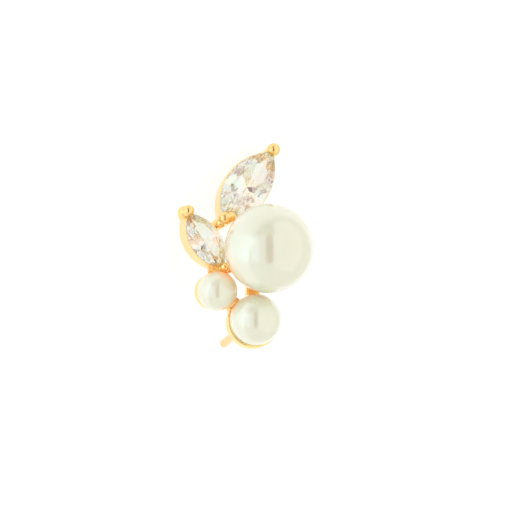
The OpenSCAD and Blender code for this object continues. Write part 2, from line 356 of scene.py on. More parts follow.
def basket(stone, profile):
    """Two swept arcs that meet at the stone's tips, in the plan."""
    radius = arc_radius(stone)
    middle = radius - stone["width"] / 2
    half = math.asin(stone["length"] / 2 / radius)
    turn = Matrix.Rotation(math.radians(stone["turn"]), 4, "Z")
    sides = []
    for side in (0, math.pi):
        mesh = run_tree(WALL, **{"Path radius": radius, "Half sweep": half}, **profile)
        mesh.transform(Matrix.Rotation(side, 4, "Z") @ Matrix.Translation((0, -middle, 0)))
        mesh.transform(Matrix.Translation((*stone["at"], 0)) @ turn)
        sides.append(mesh)
    return sides


large_walls, large_lips = basket(LARGE_STONE, STURDY), basket(LARGE_STONE, CRISP)
small_walls, small_lips = basket(SMALL_STONE, STURDY), basket(SMALL_STONE, CRISP)
print("the lips end", round(CRISP["Lip height"], 2), "mm above the back")

# %% The small basket slants
# Its foot is a little further out along the stone than its lip. A shear does that: it moves
# each point in proportion to its height, and leaves the lip where the stone is.
SMALL_BASKET_SLANT = 0.2
one_along = on_stone(SMALL_STONE, 1.0) - Vector(SMALL_STONE["at"])
slant = one_along * SMALL_BASKET_SLANT / BASKET_HEIGHT
slanted = Matrix.Identity(4)
slanted[0][2], slanted[1][2] = -slant.x, -slant.y
slanted[0][3], slanted[1][3] = slant.x * BASKET_HEIGHT, slant.y * BASKET_HEIGHT
for mesh in small_walls + small_lips:
    mesh.transform(slanted)
gold_parts = large_walls + small_walls
crisp_lips = large_lips + small_lips
print("basket walls:", [len(m.polygons) for m in gold_parts + crisp_lips], "faces")

# %% [markdown]
# The cups use the same tree with a full circle for a path. A ball rests in each, so the wall's
# inner side leans out to follow it, and presses a hair's breadth into it where the real joint
# is filled with glue, so that no light shows between them. The floor is a disc. The small cup
# leans to one side, as the photo shows, and turns about the middle of its pearl.

# %% Tree: a cup's floor
CUP_FLOOR = 0.3


def disc_tree():
    """A round plate that stands on Z = 0."""
    tree, size = start_tree("cup_floor", Radius=2.0, Thickness=CUP_FLOOR)
    wires = {"Vertices": 128, "Radius": size["Radius"], "Depth": size["Thickness"]}
    plate = add(tree, "GeometryNodeMeshCylinder", wires)
    half = add(tree, "ShaderNodeMath", {0: size["Thickness"], 1: 0.5}, operation="MULTIPLY")
    lift = add(tree, "ShaderNodeCombineXYZ", {"Z": half.outputs[0]})
    wires = {"Geometry": plate.outputs["Mesh"], "Translation": lift.outputs[0]}
    stood = add(tree, "GeometryNodeTransform", wires)
    end_tree(tree, stood.outputs[0], gold)
    return tree


DISC = disc_tree()
print("floor tree:", len(DISC.nodes), "nodes")

# %% The three cups
SEAT_PRESS = 0.02
LEAST_LIP = 0.04
LEAST_SEAT = 0.1
FLOOR_OVERLAP = 0.1
FLOOR_INSET = 0.01
SMALL_CUP_TILT = 13.0
SMALL_CUP_HEADING = -40.0
CUPS = [
    {"pearl": LARGE_PEARL, "diameter": 5.2, "height": 1.0},
    {"pearl": MEDIUM_PEARL, "diameter": 4.75, "height": 1.0},
    {"pearl": SMALL_PEARL, "diameter": 3.15, "height": 0.65},
]


def placed(pearl):
    """The plan's matrix for a cup and its pearl."""
    place = Matrix.Translation((*pearl["at"], 0))
    if pearl is SMALL_PEARL:
        heading = math.radians(SMALL_CUP_HEADING)
        tip_y = Matrix.Rotation(math.radians(SMALL_CUP_TILT * math.cos(heading)), 4, "Y")
        tip_x = Matrix.Rotation(math.radians(-SMALL_CUP_TILT * math.sin(heading)), 4, "X")
        lift = Matrix.Translation((0, 0, pearl["rise"]))
        place = place @ lift @ tip_y @ tip_x @ lift.inverted()
    return place


for cup in CUPS:
    pearl = cup["pearl"]
    outer = cup["diameter"] / 2
    seat = pearl["diameter"] / 2 - SEAT_PRESS
    lip = min(math.sqrt(seat**2 - (pearl["rise"] - cup["height"]) ** 2), outer - LEAST_LIP)
    low_z = max(CUP_FLOOR, pearl["rise"] - seat)
    inner = math.sqrt(max(seat**2 - (pearl["rise"] - low_z) ** 2, LEAST_SEAT**2))
    profile = {
        "Lip inside": lip - outer,
        "Lip outside": 0.0,
        "Foot inside": inner - outer - FLOOR_OVERLAP,
        "Foot outside": 0.0,
        "Foot height": 0.0,
        "Lip height": cup["height"],
    }
    wall = run_tree(WALL, **{"Path radius": outer, "Half sweep": math.pi}, **profile)
    plate = run_tree(DISC, Radius=outer - FLOOR_INSET, Thickness=CUP_FLOOR)
    for mesh in (wall, plate):
        mesh.transform(placed(pearl))
        gold_parts.append(mesh)
    print("cup of", cup["diameter"], "mm, lip", round(outer - lip, 2), "mm wide")

# %% [markdown]
# ## Bead prongs
#
# At each tip a stone is held by beads: wire prongs whose ends were rounded over the stone. The
# small stone's outer bead has a lower shoulder beside it, and the large stone's inner tip is
# held by a claw of three that run into one another. All are one ball on a shaft at different
# sizes, so they are instances on points: a ball scaled by each point's own radius, and a shaft
# below it, which for all but the shoulder reaches the back of the setting. They are drawn up to
# a fifth of a millimetre too large, because the polish that comes later takes some off.

# %% Points that carry sizes
def points_with(places, **values):
    """A mesh of loose points, with one attribute for each named list of values."""
    mesh = bpy.data.meshes.new("points")
    mesh.from_pydata([Vector(p) for p in places], [], [])
    for name, numbers in values.items():
        kind = "FLOAT_VECTOR" if isinstance(numbers[0], (tuple, list)) else "FLOAT"
        column = mesh.attributes.new(name, kind, "POINT")
        field = "vector" if kind == "FLOAT_VECTOR" else "value"
        for row, number in zip(column.data, numbers):
            setattr(row, field, number)
    return mesh


# %% The beads' places and sizes
BEAD_HEIGHT = BASKET_HEIGHT + 0.35


def ball(stone, along, across, diameter, height=BEAD_HEIGHT, shaft=BEAD_HEIGHT):
    """One ball on its shaft, placed along and across a stone."""
    place = on_stone(stone, along, across)
    return {"at": place, "diameter": diameter, "height": height, "shaft": shaft}


BEADS = [
    ball(LARGE_STONE, 4.12, 0.06, diameter=1.2),
    ball(LARGE_STONE, -3.87, -0.05, diameter=1.25),
    ball(LARGE_STONE, -3.42, -0.38, diameter=1.0),
    ball(SMALL_STONE, OUTER_REACH, 0.0, diameter=1.04),
    ball(SMALL_STONE, 3.17, 0.27, diameter=1.12, height=1.7, shaft=0.4),
    ball(LARGE_STONE, -4.41, 0.0, diameter=0.9, height=1.8, shaft=1.8),
    ball(SMALL_STONE, -2.95, -0.1, diameter=0.85),
]
bead_points = points_with(
    [(*bead["at"], bead["height"]) for bead in BEADS],
    bead_radius=[bead["diameter"] / 2 for bead in BEADS],
    shaft_length=[bead["shaft"] for bead in BEADS],
)
print("beads at:", [[round(v, 2) for v in bead["at"]] for bead in BEADS])


# %% Tree: a bead on a shaft at each point
def bead_tree():
    """A ball at each point, and below it a shaft as thick as the ball."""
    tree, size = start_tree("bead_prongs")
    read = "GeometryNodeInputNamedAttribute"
    radius = add(tree, read, {"Name": "bead_radius"}, data_type="FLOAT").outputs["Attribute"]
    length = add(tree, read, {"Name": "shaft_length"}, data_type="FLOAT").outputs["Attribute"]
    sphere = add(tree, "GeometryNodeMeshUVSphere", {"Segments": 48, "Rings": 24, "Radius": 1.0})
    even = add(tree, "ShaderNodeCombineXYZ", {"X": radius, "Y": radius, "Z": radius})
    rod = add(tree, "GeometryNodeMeshCylinder", {"Vertices": 48, "Radius": 1.0, "Depth": 1.0})
    wires = {"Geometry": rod.outputs["Mesh"], "Translation": (0, 0, -0.5)}
    hung = add(tree, "GeometryNodeTransform", wires)
    slim = add(tree, "ShaderNodeCombineXYZ", {"X": radius, "Y": radius, "Z": length})
    both = add(tree, "GeometryNodeJoinGeometry")
    for shape, scale in ((sphere.outputs["Mesh"], even), (hung.outputs[0], slim)):
        wires = {"Points": size["Geometry"], "Instance": shape, "Scale": scale.outputs[0]}
        copies = add(tree, "GeometryNodeInstanceOnPoints", wires)
        tree.links.new(copies.outputs[0], both.inputs[0])
    end_tree(tree, both.outputs[0], gold)
    return tree


prongs = run_tree(bead_tree(), bead_points)
gold_parts.append(prongs)
print("beads:", len(BEADS), "with", len(prongs.polygons), "faces")

# %% [markdown]
# ## Soldered bars
#
# Short bars under the cluster join cups and baskets, and a stepped block joins the small stone's
# basket to the small pearl's cup. They are one shape at many sizes, so they are cubes on
# points too, each with its own size and turn. Filing rounds a bar, and a crease on a
# subdivided cube says how much: the bars are well rounded and the blocks keep their edges.
# Each also has its own share of the painted shade, a deeper, redder gold.

# %% Bars and blocks between cups and baskets
BAR_LOW = 0.1
BAR_CREASE = 0.4
BLOCK_CREASE = 0.85


def short_bar(start, end, width, top, painted_shade, low=BAR_LOW):
    """A straight bar from one place on the plan to another, between two heights."""
    sizes = {"width": width, "top": top, "low": low}
    return {"from": start, "to": end, "painted_shade": painted_shade, **sizes}


# Each bar's last number is its share of painted shade, a deeper, redder gold for where it lies in
# shade.
BARS = [
    short_bar((-0.73, -2.2), (-0.73, -4.0), width=1.25, top=0.95, painted_shade=0.1),
    short_bar((-0.9, 2.0), (-1.6, 3.75), width=1.5, top=0.9, painted_shade=0.4),
    short_bar((-2.2, -0.85), (-3.4, -1.25), width=0.9, top=0.9, painted_shade=0.6),
    short_bar((-3.6, -3.63), (-2.18, -4.7), width=1.35, top=1.2, painted_shade=0.8),
    short_bar((-4.5, 2.37), (-2.8, 3.6), width=1.0, top=1.15, painted_shade=0.1),
]
BLOCKS = [
    short_bar((-3.8, -0.7), (-3.8, -2.2), width=1.4, top=1.4, painted_shade=1.0),
    short_bar((-4.04, -0.85), (-4.04, -1.72), width=1.9, top=1.75, painted_shade=1.0, low=1.1),
]


# %% Tree: a rounded block at each point
def bar_tree():
    """A rounded block at each point, with the size and turn that the point carries."""
    tree, size = start_tree("soldered_bars", **{"Roundness": 4, "Edge crease": BAR_CREASE})
    read = "GeometryNodeInputNamedAttribute"
    extent = add(tree, read, {"Name": "bar_size"}, data_type="FLOAT_VECTOR")
    turn = add(tree, read, {"Name": "bar_turn"}, data_type="FLOAT")
    about_z = add(tree, "ShaderNodeCombineXYZ", {"Z": turn.outputs["Attribute"]})
    block = add(tree, "GeometryNodeMeshCube")
    rounded = add(
        tree,
        "GeometryNodeSubdivisionSurface",
        {
            "Mesh": block.outputs["Mesh"],
            "Level": size["Roundness"],
            "Edge Crease": size["Edge crease"],
        },
    )
    cubes = add(
        tree,
        "GeometryNodeInstanceOnPoints",
        {
            "Points": size["Geometry"],
            "Instance": rounded.outputs["Mesh"],
            "Rotation": about_z.outputs[0],
            "Scale": extent.outputs["Attribute"],
        },
    )
    end_tree(tree, cubes.outputs[0], gold)
    return tree


BAR = bar_tree()


def soldered(bars, crease):
    """All of these bars as one mesh; a higher crease keeps their edges sharper."""
    places, sizes, turns = [], [], []
    for bar in bars:
        a, b = Vector(bar["from"]), Vector(bar["to"])
        tall = bar["top"] - bar["low"]
        places.append((*(a + b) / 2, bar["low"] + tall / 2))
        sizes.append(((b - a).length, bar["width"], tall))
        turns.append(math.atan2((b - a).y, (b - a).x))
    points = points_with(places, bar_size=sizes, bar_turn=turns)
    return run_tree(BAR, points, **{"Edge crease": crease})


gold_parts += [soldered(BARS, BAR_CREASE), soldered(BLOCKS, BLOCK_CREASE)]
print("bars:", len(BARS), "and blocks:", len(BLOCKS))

# %% [markdown]
# ## The ear post
#
# The post is plain drawn wire with a rounded tip, so that it passes a piercing. A profile turned
# round its own axis is the simplest way: rings of points from the cup down to the tip.

# %% Turned shape
def turned_shape(profile, steps=64):
    """A closed mesh from (radius, z) pairs, turned round the Z axis from its top pole down."""
    points, faces = [(0, 0, profile[0][1])], []
    for radius, z in profile[1:-1]:
        for i in range(steps):
            angle = 2 * math.pi * i / steps
            points.append((radius * math.cos(angle), radius * math.sin(angle), z))
    points.append((0, 0, profile[-1][1]))
    last = len(points) - 1
    for i in range(steps):
        j = (i + 1) % steps
        faces.append((0, 1 + i, 1 + j))
        faces.append((last, last - steps + j, last - steps + i))
        for ring in range(len(profile) - 3):
            a = 1 + ring * steps
            faces.append((a + i, a + steps + i, a + steps + j, a + j))
    mesh = bpy.data.meshes.new("turned")
    mesh.from_pydata(points, [], faces)
    mesh.materials.append(gold)
    return mesh


# %% The post
TIP_STEPS = 12
post_radius = POST_DIAMETER / 2
post_profile = [(0, CUP_FLOOR / 2), (post_radius, CUP_FLOOR / 2)]
for step in range(TIP_STEPS + 1):
    angle = math.pi / 2 * step / TIP_STEPS
    post_profile.append((post_radius * math.cos(angle), -drop - post_radius * math.sin(angle)))
post_profile[-1] = (0, -POST_LENGTH)
post = turned_shape(post_profile)
post.transform(Matrix.Translation((*POST_AT, 0)))
gold_parts.append(post)
print("post:", len(post.polygons), "faces")

# %% [markdown]
# ## One soldered piece
#
# Cast and soldered metal is one body with soft inner corners. Joining the parts and remeshing
# them in small voxels melts every joint together, much as solder flows into it, and a few
# smoothing passes round the edges as tumbling does. The remesh runs on the plan, where walls
# and floors line up with its grid, and only then is the setting laid down. The voxel is about
# as small as it can be with the setting still under 200,000 triangles.

# %% Join, melt and polish
VOXEL = 0.065
POLISH_PASSES = 4


def melted(meshes):
    """The parts as one closed mesh."""
    parts = [show(mesh, f"part_{i}") for i, mesh in enumerate(meshes)]
    with bpy.context.temp_override(
        active_object=parts[0], selected_editable_objects=parts, selected_objects=parts
    ):
        bpy.ops.object.join()
    whole = parts[0]
    melt = whole.modifiers.new("melt", "REMESH")
    melt.mode = "VOXEL"
    melt.voxel_size = VOXEL
    melt.use_smooth_shade = True
    soften = whole.modifiers.new("soften", "SMOOTH")
    soften.factor = 0.5
    soften.iterations = POLISH_PASSES
    ready = whole.evaluated_get(bpy.context.evaluated_depsgraph_get())
    mesh = bpy.data.meshes.new_from_object(ready)
    bpy.data.objects.remove(whole)
    return mesh


# %% Add the crisp lips
def with_lips(mesh, lips):
    """The melted mesh and the sharp lips as one mesh, with every face outwards."""
    whole = bmesh.new()
    for lip in lips:
        whole.from_mesh(lip)
    bmesh.ops.recalc_face_normals(whole, faces=whole.faces)
    for face in whole.faces:
        face.smooth = False
    whole.from_mesh(mesh)
    whole.to_mesh(mesh)
    whole.free()
    return mesh


setting_mesh = with_lips(melted(gold_parts), crisp_lips)
print("setting:", len(setting_mesh.polygons), "quads")

# %% [markdown]
# A deeper, redder gold is painted on each bar and a little of the metal beside it, as painted
# shade between the parts. The post's drawn wire and the beads are painted a shade redder too,
# as in the photo. Each point of the mesh gets its own share of that painted shade, which the
# gold's material reads.

# %% Where the metal is painted redder, as shade
PAINTED_SHADE_REACH = 0.3
WIRE_PAINTED_SHADE = 0.5
BEAD_PAINTED_SHADE = 0.3


def painted_shade_share(point):
    """The share of painted shade of a bar or a bead inside it, and down to 0 at the painted
    shade's reach outside it.
    """
    share = WIRE_PAINTED_SHADE if point[2] < 0 else 0.0
    for bar in BARS + BLOCKS:
        a, b = Vector(bar["from"]), Vector(bar["to"])
        along = (b - a).normalized()
        offset = Vector(point[:2]) - (a + b) / 2
        out = (
            abs(offset.dot(along)) - (b - a).length / 2,
            abs(along.cross(offset)) - bar["width"] / 2,
            max(point[2] - bar["top"], bar["low"] - point[2]),
        )
        beyond = math.hypot(*(max(v, 0) for v in out))
        share = max(share, bar["painted_shade"] * (1 - beyond / PAINTED_SHADE_REACH))
    for bead in BEADS:
        away = (Vector(point) - Vector((*bead["at"], bead["height"]))).length
        beyond = max(away - bead["diameter"] / 2, 0)
        share = max(share, BEAD_PAINTED_SHADE * (1 - beyond / PAINTED_SHADE_REACH))
    return share


# Painted shade: each point's share of the deeper, redder gold.
painted_shade_column = setting_mesh.attributes.new("painted_shade", "FLOAT", "POINT")
shares = [painted_shade_share(vertex.co) for vertex in setting_mesh.vertices]
painted_shade_column.data.foreach_set("value", shares)
print("solder on", sum(share > 0 for share in shares), "of", len(shares), "points")

# %% The finished setting
gold_faces = [(face.center.xy, tuple(face.vertices)) for face in setting_mesh.polygons]
setting_mesh.transform(LYING)
gold_points = [vertex.co for vertex in setting_mesh.vertices]
setting_mesh.materials.clear()
setting_mesh.materials.append(gold)
setting = show(setting_mesh, "gold_setting")
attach(setting, root)
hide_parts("setting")
print("lowest gold:", round(min(point.z for point in gold_points) / MM, 3), "mm up")

# %% [markdown]
# ## Pearls
#
# These are round pearls with a thick, even nacre: thousands of thin layers that reflect light
# from a little below the surface. That gives a clear but soft mirror image over a creamy,
# slightly translucent body. So the shader has a pale body with a little light carried under the
# surface, and a clear coat on top, whose higher refraction stands for the nacre's extra lustre.
# The layers grow in faint waves, so the body colour and the surface vary very slightly.
#
# Polished gold also throws warm light on a pearl beside it. A render catches little of such
# light, so an attribute named gold_glow warms the body there, with a faint light of its own.

# %% Pearl nacre
# Grown in layers and polished: a soft white mirror over cream, with clouds 2.5 mm wide.
nacre, tree, shader, place = start_material(
    "pearl_nacre",
    Metallic=0.1,
    Roughness=0.2,
    IOR=1.68,
    Subsurface_Weight=0.4,
    Subsurface_Scale=0.8 * MM,
    Coat_Weight=1.0,
    Coat_Roughness=0.1,
    Coat_IOR=2.0,
)
shader.inputs["Subsurface Radius"].default_value = (1.0, 0.65, 0.45)
shader.inputs["Emission Color"].default_value = linear("#FFC080")
wires = {"Vector": place, "Scale": per_metre(2.5), "Detail": 4.0}
clouds = add(tree, "ShaderNodeTexNoise", wires)
cream = add(tree, "ShaderNodeValToRGB", {"Fac": clouds.outputs["Fac"]})
cream.color_ramp.elements[0].position = 0.3
cream.color_ramp.elements[0].color = linear("#E8E9CC")
cream.color_ramp.elements[1].position = 0.7
cream.color_ramp.elements[1].color = linear("#ECEDD2")
wires = {"Vector": place, "Scale": per_metre(0.8), "Detail": 2.0}
waves = add(tree, "ShaderNodeTexNoise", wires)
wires = {"Height": waves.outputs["Fac"], "Strength": 0.1, "Distance": 0.01 * MM}
bump = add(tree, "ShaderNodeBump", wires)
glow = add(tree, "ShaderNodeAttribute", attribute_name="gold_glow")
wires = {0: glow.outputs["Fac"], 6: cream.outputs["Color"], 7: linear("#FFC98C")}
body = add(tree, "ShaderNodeMix", wires, data_type="RGBA")
thrown = add(tree, "ShaderNodeMapRange", {"Value": glow.outputs["Fac"], "To Max": 0.3})
tree.links.new(thrown.outputs["Result"], shader.inputs["Emission Strength"])
tree.links.new(body.outputs[2], shader.inputs["Base Color"])
tree.links.new(bump.outputs["Normal"], shader.inputs["Normal"])
tree.links.new(bump.outputs["Normal"], shader.inputs["Coat Normal"])
print("nacre ready:", len(tree.nodes), "nodes")


# %% Tree: a pearl
def pearl_tree():
    """A ball, made flat below Back, with a faint unevenness from slow growth."""
    tree, size = start_tree("pearl", Radius=4.0, Back=4.0, Unevenness=0.01, Seed=1.0)
    maths = "ShaderNodeMath"
    wires = {"Radius": size["Radius"], "Subdivisions": 7}
    sphere = add(tree, "GeometryNodeMeshIcoSphere", wires)
    where = add(tree, "GeometryNodeInputPosition").outputs[0]
    wires = {"Vector": where, "W": size["Seed"], "Scale": 0.35, "Detail": 1.0}
    growth = add(tree, "ShaderNodeTexNoise", wires, noise_dimensions="4D")
    level = add(tree, maths, {0: growth.outputs["Fac"], 1: 0.5}, operation="SUBTRACT")
    wires = {0: level.outputs[0], 1: size["Unevenness"]}
    depth = add(tree, maths, wires, operation="MULTIPLY")
    normal = add(tree, "GeometryNodeInputNormal")
    wires = {0: normal.outputs[0], "Scale": depth.outputs[0]}
    swell = add(tree, "ShaderNodeVectorMath", wires, operation="SCALE")
    wires = {"Geometry": sphere.outputs["Mesh"], "Offset": swell.outputs[0]}
    grown = add(tree, "GeometryNodeSetPosition", wires)
    parts = add(tree, "ShaderNodeSeparateXYZ", {"Vector": where})
    below = add(tree, maths, {0: size["Back"], 1: -1.0}, operation="MULTIPLY")
    wires = {0: parts.outputs["Z"], 1: below.outputs[0]}
    kept = add(tree, maths, wires, operation="MAXIMUM")
    wires = {"X": parts.outputs["X"], "Y": parts.outputs["Y"], "Z": kept.outputs[0]}
    flat = add(tree, "ShaderNodeCombineXYZ", wires)
    wires = {"Geometry": grown.outputs[0], "Position": flat.outputs[0]}
    cut = add(tree, "GeometryNodeSetPosition", wires)
    end_tree(tree, cut.outputs[0], nacre)
    return tree


PEARL = pearl_tree()
print("pearl tree:", len(PEARL.nodes), "nodes")

# %% [markdown]
# What warms a pearl is its neighbours' gold. Its own cup is behind it, where it would tint the
# whole back, so the faces inside that cup's outline are left out. The reach of the glow is a
# share of the pearl's radius, because a larger ball faces more of its surroundings.

# %% How near the gold is
GLOW_REACH = 0.85
GLOW_SHARE = 0.8
CUP_MARGIN = 0.1


def gold_glow(mesh, pearl):
    """Writes how much of the colour of its neighbours' gold each point of a pearl takes on."""
    middle, radius = Vector(pearl["at"]), pearl["diameter"] / 2
    own = next(cup["diameter"] / 2 + CUP_MARGIN for cup in CUPS if cup["pearl"] is pearl)
    seen = [corners for place, corners in gold_faces if (place - middle).length > own]
    surface = BVHTree.FromPolygons(gold_points, seen)
    reach = GLOW_REACH * radius * MM
    shares = []
    for vertex in mesh.vertices:
        away = surface.find_nearest(vertex.co, reach)[3]
        shares.append(0.0 if away is None else GLOW_SHARE * (1 - away / reach))
    mesh.attributes.new("gold_glow", "FLOAT", "POINT").data.foreach_set("value", shares)


# %% The three pearls
GLUE_GAP = 0.05
UNEVENNESS = 0.012


def pearl_piece(pearl, node, flat, seed):
    """One finished pearl, which stands for its solid."""
    radius = pearl["diameter"] / 2
    back = pearl["rise"] - CUP_FLOOR - GLUE_GAP if flat else radius
    mesh = run_tree(PEARL, Radius=radius, Back=back, Unevenness=UNEVENNESS, Seed=seed)
    mesh.transform(placed(pearl) @ Matrix.Translation((0, 0, pearl["rise"])))
    mesh.transform(LYING)
    gold_glow(mesh, pearl)
    piece = show(mesh, node + "_nacre")
    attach(piece, root)
    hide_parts(node)
    print(piece.name, len(mesh.polygons), "faces")
    return piece


pearl_piece(LARGE_PEARL, "large_pearl", flat=False, seed=1.0)
pearl_piece(MEDIUM_PEARL, "medium_pearl", flat=True, seed=2.0)
pearl_piece(SMALL_PEARL, "small_pearl", flat=True, seed=3.0)

# %% [markdown]
# ## Clear stones
#
# The stones are cubic zirconia, cut as marquise brilliants. The solids already have the flat
# table and facets, and a facet must stay flat, so these two nodes keep their own meshes. Zirconia
# bends light strongly, at 2.15, and splits it into faint colours. One Principled shader can't
# split light, so a very pale tint that changes from place to place stands for that fire. In the
# photo the flecks are softer than that index gives, so the shader has 2.0 and a little
# roughness.

# %% Cubic zirconia
# Sawn, ground and polished flat: clear, with light and dark flecks and pale fire 1.1 mm wide.
zirconia, tree, shader, place = start_material(
    "cubic_zirconia", Roughness=0.06, IOR=2.0, Transmission_Weight=1.0
)
fire = add(tree, "ShaderNodeTexVoronoi", {"Vector": place, "Scale": per_metre(1.1)})
pale = add(tree, "ShaderNodeValToRGB", {"Fac": fire.outputs["Color"]})
ramp = pale.color_ramp
ramp.elements[0].color = linear("#FFD6BA")
ramp.elements[1].color = linear("#E2E4F5")
for position, code in ((0.3, "#FAF2EE"), (0.55, "#DAF4E6"), (0.75, "#FFF0D0")):
    ramp.elements.new(position).color = linear(code)
tree.links.new(pale.outputs["Color"], shader.inputs["Base Color"])
for node in ("large_stone", "small_stone"):
    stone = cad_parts[node]
    stone.data.materials.clear()
    stone.data.materials.append(zirconia)
    print(node, len(stone.data.polygons), "faces")

# %% [markdown]
# ## Camera
#
# Small jewellery is shot in a light tent: white cloth all round, a table of opal acrylic lit from
# below, and an upright slit that the camera looks through. Everything shiny then mirrors white,
# and the slit is the narrow upright band that each pearl shows. Directions are easiest in the
# camera's own terms, so the camera comes first: it looks at the front of the setting, 19 degrees
# off straight, through a long lens.

# %% Camera
VIEW_TURN = 19.0
VIEW_HEADING = 43.0
PICTURE_PIXELS = 512
PIXELS_PER_MM = 11.25
CAMERA_DISTANCE = 0.4
SENSOR_MM = 36.0
AIM_RIGHT_MM, AIM_UP_MM = -1.2, -0.676
picture_width = PICTURE_PIXELS / PIXELS_PER_MM * MM
heading = math.radians(VIEW_HEADING)
tip_axis = Vector((-math.sin(heading), math.cos(heading), 0))
tip = Matrix.Rotation(-math.radians(VIEW_TURN), 4, tip_axis)
axes = (turned @ tip).to_3x3()
RIGHT, UP, BACK = axes.col
aim = pearl_middle + RIGHT * (AIM_RIGHT_MM * MM) + UP * (AIM_UP_MM * MM)
camera_data = bpy.data.cameras.new("camera")
camera_data.sensor_width = SENSOR_MM
camera_data.lens = SENSOR_MM * CAMERA_DISTANCE / picture_width
camera_data.clip_start = 0.01
camera = bpy.data.objects.new("camera", camera_data)
bpy.context.scene.collection.objects.link(camera)
camera.matrix_world = Matrix.Translation(aim + BACK * CAMERA_DISTANCE) @ axes.to_4x4()
bpy.context.scene.camera = camera
print("camera is", round(math.degrees(math.asin(BACK.z)), 1), "degrees above the table")
print("lens of", round(camera_data.lens), "mm")


# %% Directions as the camera sees them
def toward(right_degrees, up_degrees):
    """A direction from the earring, as the camera sees it."""
    a, e = math.radians(right_degrees), math.radians(up_degrees)
    return RIGHT * math.sin(a) * math.cos(e) + UP * math.sin(e) + BACK * math.cos(a) * math.cos(e)


left_across = Vector((-RIGHT.x, -RIGHT.y)).normalized()
left_heading = math.atan2(left_across.y, left_across.x)
print("the picture's left is at", round(math.degrees(left_heading)), "degrees on the table")

# %% [markdown]
# ## Light table
#
# Opal acrylic is cast in sheets: a matt white that glows when it is lit from below, so shadows
# on it all but vanish. A lamp of daylight colour lies under its left side, and its light spreads
# out from the earring in the shape of a fan. Each pearl mirrors that fan as the bright window on
# its left. Behind the earring the table gets darker, which gives the dim arch over the window.
# All of this is worked out in the material, from the distance and the angle on the table, so
# that the table stays one plain sheet and looks the same from every side.

# %% Opal acrylic
# Cast in sheets, matt and milky: nearly even white, with the faintest grain, 3 mm wide.
GLOW = 0.82
opal, tree, shader, place = start_material("opal_acrylic", Roughness=0.6, IOR=1.49)
wires = {"Vector": place, "Scale": per_metre(3.0), "Detail": 2.0}
grain = add(tree, "ShaderNodeTexNoise", wires)
white = add(tree, "ShaderNodeValToRGB", {"Fac": grain.outputs["Fac"]})
white.color_ramp.elements[0].color = linear("#8A8A8A")
white.color_ramp.elements[1].color = linear("#909090")
tree.links.new(white.outputs["Color"], shader.inputs["Base Color"])

# %% The fan-shaped lamp under the left side
# A radial gradient counts turns round the earring, and its half turn points along the lamp's
# heading. The fan is lit from 0.44 to 0.56 of a turn, with soft edges. A spherical gradient
# falls off with the distance.
LAMP_NEAR = 0.004
LAMP_FULL = 0.035
LAMP_TURN = 12.0
NEARBY = 0.1
middle = (pearl_middle.x, pearl_middle.y, 0)
lamp_place = add(
    tree,
    "ShaderNodeMapping",
    {
        "Vector": place,
        "Location": middle,
        "Rotation": (0, 0, left_heading - math.radians(LAMP_TURN)),
        "Scale": (NEARBY, NEARBY, NEARBY),
    },
    vector_type="TEXTURE",
)
wires = {"Vector": lamp_place.outputs[0]}
round_it = add(tree, "ShaderNodeTexGradient", wires, gradient_type="RADIAL")
outwards = add(tree, "ShaderNodeTexGradient", wires, gradient_type="SPHERICAL")
fan = add(tree, "ShaderNodeValToRGB", {"Fac": round_it.outputs["Fac"]})
for element, position in zip(fan.color_ramp.elements, (0.4, 0.6)):
    element.position = position
    element.color = (0, 0, 0, 1)
for position in (0.44, 0.56):
    fan.color_ramp.elements.new(position).color = (1, 1, 1, 1)
ends = {"From Min": 1 - LAMP_NEAR / NEARBY, "From Max": 1 - LAMP_FULL / NEARBY}
away = add(tree, "ShaderNodeMapRange", {"Value": outwards.outputs["Fac"], **ends})
wires = {"Value": fan.outputs["Color"], "To Max": away.outputs["Result"]}
lit = add(tree, "ShaderNodeMapRange", wires)
print("the lamp is at full light", round(LAMP_FULL / MM), "mm from the earring")

# %% Dimmer behind, brighter over the lamp
LAMP_GLOW = 1.65
DIM_START = 0.022
DIM_END = 0.07
DIM_GLOW = 0.4
wires = {"Vector": place, "Location": middle, "Rotation": (0, 0, left_heading - math.pi / 2)}
behind_place = add(tree, "ShaderNodeMapping", wires, vector_type="TEXTURE")
behind = add(tree, "ShaderNodeSeparateXYZ", {"Vector": behind_place.outputs[0]})
ends = {"From Min": DIM_START, "From Max": DIM_END, "To Min": GLOW, "To Max": DIM_GLOW}
plain = add(tree, "ShaderNodeMapRange", {"Value": behind.outputs["X"], **ends})
ends = {"To Min": plain.outputs["Result"], "To Max": LAMP_GLOW}
strength = add(tree, "ShaderNodeMapRange", {"Value": lit.outputs["Result"], **ends})
daylight = add(tree, "ShaderNodeValToRGB", {"Fac": lit.outputs["Result"]})
daylight.color_ramp.elements[0].color = linear("#FFFFFE")
daylight.color_ramp.elements[1].color = linear("#D4ECFF")
tree.links.new(strength.outputs["Result"], shader.inputs["Emission Strength"])
tree.links.new(daylight.outputs["Color"], shader.inputs["Emission Color"])
print("opal acrylic ready:", len(tree.nodes), "nodes")

# %% The table
HALF_TABLE = 1.5
table_mesh = bpy.data.meshes.new("table")
corners = [(x * HALF_TABLE, y * HALF_TABLE, 0) for x, y in ((-1, -1), (1, -1), (1, 1), (-1, 1))]
table_mesh.from_pydata(corners, [], [(0, 1, 2, 3)])
table_mesh.materials.append(opal)
table = show(table_mesh, "table")
table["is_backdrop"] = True
print("table:", 2 * HALF_TABLE, "m wide")

# %% [markdown]
# ## Soft lights
#
# Two large soft boxes stand outside the tent. The left one is cool, like a window, and gives
# the pearls' left sides their faint blue. The right one evens out the other side.

